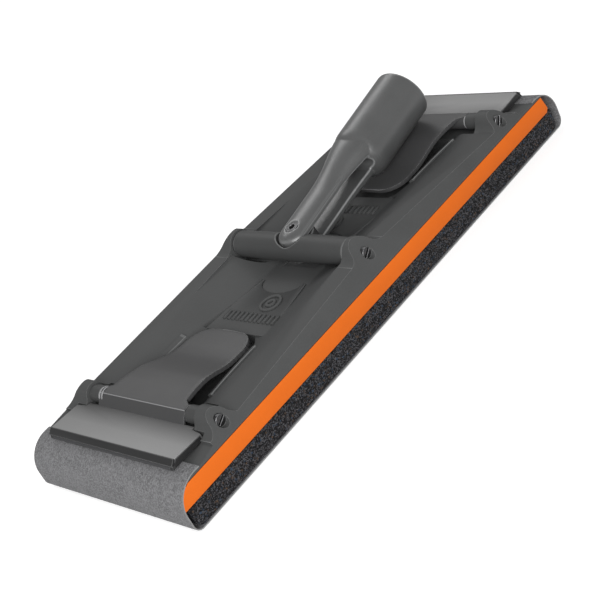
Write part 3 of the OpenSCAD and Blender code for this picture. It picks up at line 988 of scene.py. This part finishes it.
def lever_half_width(x, reach, barrel_half_w):
    """Half the lever's width at a place along it."""
    corner = 9.5
    t = clamp(x / (reach - TIP_STRAIGHT))
    width = ROOT_HALF_W + (TIP_HALF_W - ROOT_HALF_W) * (1 - (1 - t) ** 1.35)
    width += (barrel_half_w - ROOT_HALF_W) * (1 - ease((x - 0.6) / 2.6))
    past = x - (reach - corner)
    if past > 0:
        width -= corner - math.sqrt(max(corner ** 2 - past ** 2, 0.04))
    return width


def lever_plate(reach, barrel_half_w, sheet):
    """The pressed plate of a lever, in the clamp's own axes with x towards the tip.

    It folds over the barrel and down to the jaw, and thins there to clear the spring.
    """
    rows, crown = 22, 0.3
    slope_x, slope_z, slope_run, slope_drop = 11, BARREL_R - 0.2, 21.2, 5.1
    knots = [(-5.2 + 3.55 * t, -0.95 + 3.95 * t) for t in (0, 0.3, 0.6, 0.9, 1.0)]
    knots += [(-0.9, BARREL_R), (0, BARREL_R + 0.02), (3, BARREL_R + 0.02), (7, BARREL_R), (slope_x, slope_z)]
    knots += [(slope_x + slope_run * t, slope_z - slope_drop * ease(t)) for t in (0.2, 0.4, 0.6, 0.8, 1.0)]
    knots += [(37, -2.35), (40.5, -2.45), (reach - 1.2, -2.55), (reach, -2.7)]
    line = spline(knots, 4)
    rings = []
    for i, p in enumerate(line):
        along = direction_at(line, i)
        down = Vector((along.y, -along.x)) * sheet * (1 + ease((p.x - 1.5) / 3.5)) / 2
        width = lever_half_width(p.x, reach, barrel_half_w)
        dome = crown * ease((p.x - 6) / 8)
        across = [-1 + 2 * k / rows for k in range(rows + 1)]
        ring = [(p.x, v * width, p.y - dome * v * v) for v in across]
        ring += [(p.x + down.x, -v * width, p.y + down.y - dome * v * v) for v in across]
        rings.append(ring)
    return loft("plate", rings)


def lever(end):
    """A pressed plate, a barrel in two halves with the spring between, and a lug for the jaw at each side."""
    clamps = settings("sander_clamps")
    inner, bore, soft, past_node, lug_end, lug_top = 5.2, 1.55, 0.35, 0.8, 18, -0.6
    band_half_w, band_sunk, band_side, band_top, band_flat, band_step = 0.35, 0.6, 0.25, 0.43, 0.2, 1.4
    low, high = node_box("near_lever")
    outer = high.y
    plate = lever_plate(LEVER_REACH + past_node, outer - 0.1, clamps.sheet)
    shells = [round_edges(plate, clamps.edge_round, 3, 50)]
    tube = soft_tube(inner, outer, bore, BARREL_R, soft)
    for side in (-1, 1):
        shells.append(turned("half", [(side * y, r) for y, r in tube], 64, "Y"))
        y0, y1 = sorted((side * inner, side * lug_end))
        lug = block("lug", (-BARREL_R, y0, low.z - CLAMP_AXLE.z), (-BARREL_R + clamps.sheet, y1, lug_top))
        shells.append(round_edges(lug, 0.3, 2))
    # Two raised bands round the barrel, which end up on its +Y side at both ends of the head
    side = 1 if end == "near" else -1
    band = [(-band_half_w, BARREL_R - band_sunk), (band_half_w, BARREL_R - band_sunk),
            (band_half_w, BARREL_R + band_side), (band_flat, BARREL_R + band_top),
            (-band_flat, BARREL_R + band_top), (-band_half_w, BARREL_R + band_side)]
    start = side * (outer - band_half_w - 0.01)
    shells.append(grow(turned("band", band, 64, "Y"), row_of_copies(), lever_paint(), Count=2,
                       Start=(0, start * MM, 0), Step=(0, -side * band_step * MM, 0)))
    return at_clamp(smooth(join(end + "_lever_body", shells), 34))


def build_levers():
    """Both levers."""
    for end, piece in both_ends(lever):
        mark_edges(piece)
        finish_piece(piece, lever_paint(), end + "_clamp", "lever", end + "_lever")


def jaw_rim(end):
    """The folded rim of a jaw: a two-step lip along the front and a skirt at each side."""
    proud, skirt_t = 0.25, 1.1
    half_w = node_box("near_jaw")[1].y
    lip = [(-20.0, 0.1), (-20.35, 0.5), (-20.7, 0.45), (-22.55, -1.1), (-22.5, -1.35), (-22.1, -1.4),
           (-22.75, -2.95), (-22.3, -3.05), (-21.0, -1.5), (-20.4, -0.4)]
    skirt = [(-7.3, -0.9), (-19.6, -0.15), (-21.2, -0.9), (-21.9, -2.9), (-7.9, -2.9)]
    parts = [slab("lip", lip, -half_w - proud, half_w + proud)]
    for side in (-1, 1):
        parts.append(slab("skirt", skirt, *sorted((side * (half_w - skirt_t), side * (half_w + proud)))))
    return smooth(at_clamp(join(end + "_jaw_rim", [round_edges(part, 0.22, 2) for part in parts])))


def build_jaws():
    """Both jaws with their rims, rubber grips and rivets."""
    for end in ("near", "far"):
        body = end + "_clamp"
        jaw = round_edges(merged_copy(end + "_jaw", end + "_jaw_plate"), settings("sander_clamps").jaw_round)
        # The jaw plate gets the painted sheen, with painted shade towards the barrel
        finish_piece(mark_edges(jaw), jaw_sheen_and_shade(), body, "jaw", end + "_jaw")
        rim = at_end(jaw_rim(end), end)
        finish_piece(mark_edges(rim), rim_paint(), body, "jaw")
        grip = round_edges(merged_copy(end + "_grip", end + "_grip_strip"), 0.15, 2)
        finish_piece(mark_edges(grip), grip_rubber(), body, "grip", end + "_grip")
        steel_part(end + "_rivets", end + "_rivet_pair", 0.12, body)


def torsion_spring(end):
    """A coil of wire with two legs, one under the lever and one on the chassis."""
    wire, coil_r, turns, pitch = 0.3, 1.9, 5, 0.67
    foot_z = node_box("near_spring")[0].z - CLAMP_AXLE.z + wire
    coil_l = turns * pitch
    coil = grow(mesh_piece("coil", [(0, 0, 0)], []), coil_of_wire(), dark_steel(), Turns=float(turns),
                Radius=coil_r * MM, Height=coil_l * MM, Wire=wire * MM)
    turn(coil, Matrix.Rotation(math.pi / 2, 4, "X") @ Matrix.Translation((0, 0, -coil_l * MM / 2)))
    lever_leg = [(coil_r, coil_l / 2, 0), (3.4, 2.4, 0.3), (9.5, 2.6, 0.95)]
    chassis_leg = [(coil_r, -coil_l / 2, 0), (2.6, -2.2, -2.2), (5.8, -2.9, foot_z)]
    shells = [coil]
    for knots in (lever_leg, chassis_leg):
        line = spline(knots, 6)
        rings = []
        for i, p in enumerate(line):
            along = direction_at(line, i)
            side = along.cross((0, 1, 0.1)).normalized()
            up = along.cross(side)
            rings.append([p + c * side + s * up for c, s in circle(wire, 12)])
        shells.append(loft("leg", rings))
    return at_clamp(join(end + "_torsion_spring", shells))


def build_springs():
    """Both torsion springs."""
    for end, piece in both_ends(torsion_spring):
        smooth(piece, 60)
        finish_piece(piece, dark_steel(), end + "_clamp", "pivot_steel", end + "_spring")


def spacer_pair(end):
    """The thick collars between a barrel and its ears."""
    outer_r, bore, soft, gap = 3.35, 1.6, 0.3, 0.12
    start, stop = node_box("near_lever")[1].y + gap, node_box("near_spacers")[1].y - 0.02
    tube = soft_tube(start, stop, bore, outer_r, soft)
    collars = [turned("collar", [(side * y, r) for y, r in tube], 64, "Y") for side in (-1, 1)]
    return smooth(at_clamp(join(end + "_spacer_pair", collars)))


def build_spacers():
    """The collars of both clamps."""
    for end, piece in both_ends(spacer_pair):
        mark_edges(piece)
        finish_piece(piece, bar_plastic(), end + "_clamp", "spacer", end + "_spacers")


def build_axles():
    """The three slotted screws, each done up to its own angle."""
    for node, joint, angle in (("near_axle", "near_clamp_hinge", 48), ("far_axle", "far_clamp_hinge", 18),
                               ("swivel_axle", "yoke_tilt", 42)):
        piece = round_edges(merged_copy(node, node + "_screw"), 0.18, 2, 50)
        middle = Matrix.Translation(JOINTS[joint]["pos_m"])
        turn(piece, middle @ Matrix.Rotation(math.radians(angle), 4, "Y") @ middle.inverted())
        finish_piece(mark_edges(piece), dark_steel(), "head", "pivot_steel", node)


# ------------------------------------------------------------------ the swivel


def build_crossbar():
    """The barrel-shaped crossbar with its tongue for the fork."""
    swivel = settings("sander_swivel")
    end_r, mid_r, soft, bore, steps = 5.4, 5.6, 0.5, 1.55, 24
    tongue_r, slot_r, slot_top, root = 7.0, 8.25, 12, 2.5
    half = node_box("crossbar")[1].y
    pin_out = (FORK_PIN - SWIVEL_AXLE).length
    outline = [(-half, bore), (-half, end_r - soft), (-half + soft * 0.3, end_r - soft * 0.3)]
    outline += [(-half + soft + (2 * half - 2 * soft) * i / steps,
                 end_r + (mid_r - end_r) * (1 - (2 * i / steps - 1) ** 2)) for i in range(steps + 1)]
    outline += [(half - soft * 0.3, end_r - soft * 0.3), (half, end_r - soft), (half, bore)]
    bar = turned("crossbar_barrel", outline, 96, "Y")
    turn(bar, Matrix.Translation((-pin_out * MM, 0, 0)))
    cuts = [extruded("slot", circle(slot_r, 72), *sorted((side * TONGUE_T / 2, side * slot_top)))
            for side in (-1, 1)]
    combine(bar, cuts, "DIFFERENCE")
    tongue = arc(0, 0, tongue_r, -90, 90, 36) + [(-pin_out + root, tongue_r), (-pin_out + root, -tongue_r)]
    combine(bar, [extruded("tongue", tongue, -TONGUE_T / 2, TONGUE_T / 2)], "UNION")
    combine(bar, [extruded("pin_hole", circle(PIN_HOLE_R, 36), -10, 10)], "DIFFERENCE")
    recast(bar, swivel.cell * 0.75, 4)
    mark_skin(at_pin(bar), 0.3, 0.8)
    finish_piece(bar, bar_plastic(), "yoke", "crossbar", "crossbar")
    steel_part("crossbar_washers", "crossbar_washer_pair", 0.1, "yoke")


def leg_solid(side, inner, outer, leg_w, leg_end, body_x, body_half_w, body_half_h):
    """One fork leg with a crowned outer face that swells into the socket, in the fork's own axes."""
    round_steps, steps, rim = 12, 24, 0.7
    radius = leg_w / 2
    end_x = radius - leg_end
    profile = [(math.cos(a), math.sin(a) ** 0.8) for a in (math.radians(7.5 * k) for k in range(25))]
    stations = [(end_x + radius * c, max(s, 0.03)) for c, s in arc(0, 0, 1, 180, 90, round_steps)]
    stations += [(end_x + (body_x - end_x) * i / steps, 1.0) for i in range(1, steps + 1)]
    flat = inner + rim
    rings = []
    for x, share in stations:
        swell = ease((x - 24) / (body_x - 23)) ** 1.2
        half_w = (radius + (body_half_w - radius) * swell) * share
        high = outer + (body_half_h - outer) * ease((x - 19) / (body_x - 19))
        ring = [(x, half_w * c, side * (flat + (high - flat) * r * share ** 0.4)) for c, r in profile]
        ring += [(x, -half_w, side * inner), (x, half_w, side * inner)]
        rings.append(ring)
    return loft("leg", rings)


def build_fork():
    """The fork and its pole socket as one casting, with the pole thread inside."""
    swivel = settings("sander_swivel")
    socket_r, reach, socket_l, shoulder, neck_r, rim = 11.9, 82.0, 34.0, 7.0, 5.2, 1.0
    leg_w, leg_t, leg_end, leg_gap, crotch_deep = 13.2, 4.4, 7.9, 0.65, 5.0
    bore_r, bore_depth, chamfer = 9.2, 30.0, 1.2
    head_seat_r, head_seat_deep = 2.95, 1.2
    inner = TONGUE_T / 2 + leg_gap
    outer = inner + leg_t
    body_x = reach - socket_l
    root_r = bore_r + swivel.thread_depth
    outline = [(body_x - shoulder, 0.0)]
    outline += [(body_x - shoulder * c, neck_r + (socket_r - neck_r) * s) for c, s in arc(0, 0, 1, 0, 90, 10)]
    outline += [(x, r) for x, r in arc(reach - rim, socket_r - rim, rim, 90, 0, 6)]
    outline += [(reach, bore_r + 1.3), (reach - chamfer, root_r), (reach - bore_depth, root_r),
                (reach - bore_depth, 0.0)]
    fork = turned("pole_fork", outline, 96)
    legs = [leg_solid(side, inner, outer, leg_w, leg_end, body_x - 0.5, socket_r - in_w, socket_r - in_h)
            for side, in_w, in_h in ((1, 1.8, 1.1), (-1, 4.2, 3.2))]
    combine(fork, legs, "UNION")
    gap = arc(body_x - crotch_deep - inner, 0, inner, 90, -90, 16) + [(-20, -inner), (-20, inner)]
    cuts = [slab("gap", gap, -20, 20), extruded("hole", circle(PIN_HOLE_R, 36), -15, 15)]
    for side in (-1, 1):
        seat = sorted((side * (outer - head_seat_deep), side * 15))
        cuts.append(extruded("seat", circle(head_seat_r, 36), *seat))
    combine(fork, cuts, "DIFFERENCE")
    recast(fork, swivel.cell, swivel.relax)
    mark_skin(at_pin(fork), 0.25, 0.8)
    finish_piece(fork, socket_plastic(), "fork", "socket", "fork_socket")
    build_thread(reach, bore_depth, root_r, bore_r)
    steel_part("fork_pin", "fork_pin_rivet", 0.2, "fork", segments=3, painted_light_and_marks=True)
    steel_part("fork_washers", "fork_washer_pair", 0.1, "fork")


def build_thread(reach, depth, root_r, crest_r):
    """The ridge of the pole thread, wound down the bore."""
    per_turn, fade_steps, start, short = 48, 20, 1.6, 4.0
    half_root, half_crest, sunk = 0.95, 0.4, 0.2
    pitch = settings("sander_swivel").thread_pitch
    count = int((depth - short) / pitch * per_turn)
    rings = []
    for i in range(count + 1):
        a = 2 * math.pi * i / per_turn
        full = min(1.0, i / fade_steps, (count - i) / fade_steps)
        x = reach - start - pitch * i / per_turn
        crest = root_r - (root_r - crest_r) * max(full, 0.05)
        section = [(half_root, root_r + sunk), (half_crest, crest), (-half_crest, crest),
                   (-half_root, root_r + sunk)]
        rings.append([(x + dx, r * math.cos(a), r * math.sin(a)) for dx, r in section])
    finish_piece(at_pin(smooth(loft("pole_thread", rings), 40)), socket_plastic(), "fork", "socket")


# ------------------------------------------------------------------- the stage


def whiten_for_camera(tree, shader_socket, strength):
    """Adds white to the given shader, for the camera only."""
    path, glow, scale, both = (tree.nodes.new("ShaderNode" + kind)
                               for kind in ("LightPath", "Emission", "Math", "AddShader"))
    glow.inputs["Color"].default_value = (1, 1, 1, 1)
    scale.operation = "MULTIPLY"
    scale.inputs[1].default_value = strength
    tree.links.new(path.outputs["Is Camera Ray"], scale.inputs[0])
    tree.links.new(scale.outputs[0], glow.inputs["Strength"])
    tree.links.new(shader_socket, both.inputs[0])
    tree.links.new(glow.outputs[0], both.inputs[1])
    return both.outputs[0]


def build_floor():
    """A plain pale floor just under the sanding face."""
    half, under = 4000, -0.3
    corners = [(-half, -half, under), (half, -half, under), (half, half, under), (-half, half, under)]
    floor = mesh_piece("floor", corners, [(0, 1, 2, 3)])
    material, tree, shader = start_material("pale_floor", specular=0.0)
    shader.inputs["Base Color"].default_value = (0.82, 0.82, 0.82, 1)
    shader.inputs["Roughness"].default_value = 0.9
    out = tree.nodes["Material Output"]
    tree.links.new(whiten_for_camera(tree, shader.outputs[0], 0.5), out.inputs["Surface"])
    floor.data.materials.append(material)


def add_lamp(name, spot, size, power):
    """A soft rectangular lamp aimed at the middle of the head, with its place in metres."""
    lamp = bpy.data.lights.new(name, "AREA")
    lamp.shape = "RECTANGLE"
    lamp.size, lamp.size_y = size
    lamp.energy = power
    holder = bpy.data.objects.new(name, lamp)
    bpy.context.scene.collection.objects.link(holder)
    spot = Vector(spot)
    holder.matrix_world = Matrix.Translation(spot) @ spot.to_track_quat("Z", "Y").to_matrix().to_4x4()


def build_lights():
    """Even light from all round that looks white to the camera, a large key lamp and a long rim lamp."""
    stage = settings("sander_stage")
    world = bpy.data.worlds.new("studio")
    bpy.context.scene.world = world
    world.use_nodes = True
    tree = world.node_tree
    fill, white = tree.nodes["Background"], tree.nodes.new("ShaderNodeBackground")
    path, mix = tree.nodes.new("ShaderNodeLightPath"), tree.nodes.new("ShaderNodeMixShader")
    for background, strength in ((fill, stage.fill), (white, 1.0)):
        background.inputs["Color"].default_value = (1, 1, 1, 1)
        background.inputs["Strength"].default_value = strength
    tree.links.new(path.outputs["Is Camera Ray"], mix.inputs["Fac"])
    tree.links.new(fill.outputs[0], mix.inputs[1])
    tree.links.new(white.outputs[0], mix.inputs[2])
    tree.links.new(mix.outputs[0], tree.nodes["World Output"].inputs["Surface"])
    add_lamp("key", (-0.78, -0.92, 0.58), (0.9, 0.9), stage.key_power)
    add_lamp("rim", (0.42, 0.52, 0.62), (0.7, 0.25), stage.rim_power)


def build_camera():
    """The camera, from its place in metres and the ways that its right side and its back face."""
    spot = Vector((-0.27442, -0.38120, 0.25892))
    right = Vector((0.59541, -0.68874, -0.41367))
    back = Vector((-0.50068, -0.72077, 0.47939)).normalized()
    lens = bpy.data.cameras.new("camera")
    lens.lens = settings("sander_stage").lens
    lens.sensor_width = 36
    lens.clip_start = 0.01
    camera = bpy.data.objects.new("camera", lens)
    bpy.context.scene.collection.objects.link(camera)
    right = (right - right.project(back)).normalized()
    axes = Matrix((right, back.cross(right), back)).transposed().to_4x4()
    camera.matrix_world = Matrix.Translation(spot) @ axes
    bpy.context.scene.camera = camera


# ------------------------------------------------------------------- operators


def made(*names):
    """Ends an operator, with an error if something that it should make is missing."""
    missing = [name for name in names if name not in bpy.context.scene.objects]
    if missing:
        raise RuntimeError("not made: " + ", ".join(missing))
    return {"FINISHED"}


class SANDER_OT_chassis(bpy.types.Operator):
    """Builds the dark chassis, its floor panels and its pocket ridges"""

    bl_idname = "sander.chassis"
    bl_label = "Chassis"

    def execute(self, context):
        build_chassis()
        build_floor_panels()
        build_pocket_ridges()
        return made("chassis_shell", "near_floor_panel", "far_floor_panel", "near_pocket_ridges",
                    "far_pocket_ridges")


class SANDER_OT_block(bpy.types.Operator):
    """Builds the orange backing block"""

    bl_idname = "sander.block"
    bl_label = "Backing Block"

    def execute(self, context):
        build_block()
        return made("backing_block_body")


class SANDER_OT_foam(bpy.types.Operator):
    """Builds the flecked foam pad"""

    bl_idname = "sander.foam"
    bl_label = "Foam Pad"

    def execute(self, context):
        build_foam()
        return made("foam_pad_body")


class SANDER_OT_sheet(bpy.types.Operator):
    """Builds the sanding sheet wrapped round the head"""

    bl_idname = "sander.sheet"
    bl_label = "Sanding Sheet"

    def execute(self, context):
        build_sheet()
        return made("sanding_sheet")


class SANDER_OT_levers(bpy.types.Operator):
    """Builds both clamp levers"""

    bl_idname = "sander.levers"
    bl_label = "Levers"

    def execute(self, context):
        build_levers()
        return made("near_lever_body", "far_lever_body")


class SANDER_OT_jaws(bpy.types.Operator):
    """Builds both jaws with rims, grips and rivets"""

    bl_idname = "sander.jaws"
    bl_label = "Jaws"

    def execute(self, context):
        build_jaws()
        return made("near_jaw_plate", "near_jaw_rim", "near_grip_strip", "near_rivet_pair",
                    "far_jaw_plate", "far_jaw_rim", "far_grip_strip", "far_rivet_pair")


class SANDER_OT_springs(bpy.types.Operator):
    """Builds both torsion springs and the collars beside the barrels"""

    bl_idname = "sander.springs"
    bl_label = "Springs and Collars"

    def execute(self, context):
        build_springs()
        build_spacers()
        return made("near_torsion_spring", "far_torsion_spring", "near_spacer_pair", "far_spacer_pair")


class SANDER_OT_axles(bpy.types.Operator):
    """Builds the three slotted pivot screws"""

    bl_idname = "sander.axles"
    bl_label = "Pivot Screws"

    def execute(self, context):
        build_axles()
        return made("near_axle_screw", "far_axle_screw", "swivel_axle_screw")


class SANDER_OT_crossbar(bpy.types.Operator):
    """Builds the crossbar and its washers"""

    bl_idname = "sander.crossbar"
    bl_label = "Crossbar"

    def execute(self, context):
        build_crossbar()
        return made("crossbar_barrel", "crossbar_washer_pair")


class SANDER_OT_fork(bpy.types.Operator):
    """Builds the fork with its pole socket, thread, pin and washers"""

    bl_idname = "sander.fork"
    bl_label = "Fork"

    def execute(self, context):
        build_fork()
        return made("pole_fork", "pole_thread", "fork_pin_rivet", "fork_washer_pair")


class SANDER_OT_stage(bpy.types.Operator):
    """Builds the camera, the floor and the lights"""

    bl_idname = "sander.stage"
    bl_label = "Stage"

    def execute(self, context):
        build_camera()
        build_floor()
        build_lights()
        return made("camera", "floor", "key", "rim")


OPERATORS = (SANDER_OT_chassis, SANDER_OT_block, SANDER_OT_foam, SANDER_OT_sheet, SANDER_OT_levers,
             SANDER_OT_jaws, SANDER_OT_springs, SANDER_OT_axles, SANDER_OT_crossbar, SANDER_OT_fork,
             SANDER_OT_stage)


class SANDER_PT_panel(bpy.types.Panel):
    """Lists the builders of the pole sander"""

    bl_idname = "SANDER_PT_panel"
    bl_label = "Pole Sander"
    bl_space_type = "VIEW_3D"
    bl_region_type = "UI"
    bl_category = "Pole Sander"

    def draw(self, context):
        for operator in OPERATORS:
            self.layout.operator(operator.bl_idname)


def register():
    """Registers the settings, the operators and the panel."""
    for name, group in SETTINGS.items():
        bpy.utils.register_class(group)
        setattr(bpy.types.Scene, name, PointerProperty(type=group))
    for thing in (*OPERATORS, SANDER_PT_panel):
        bpy.utils.register_class(thing)


def unregister():
    """Removes the panel, the operators and the settings again."""
    for thing in (SANDER_PT_panel, *reversed(OPERATORS)):
        bpy.utils.unregister_class(thing)
    for name, group in reversed(SETTINGS.items()):
        delattr(bpy.types.Scene, name)
        bpy.utils.unregister_class(group)


def main():
    """Builds everything."""
    register()
    bpy.context.scene.view_settings.view_transform = "Standard"
    for operator in OPERATORS:
        getattr(bpy.ops.sander, operator.bl_idname.split(".")[1])()


if __name__ == "__main__":
    main()
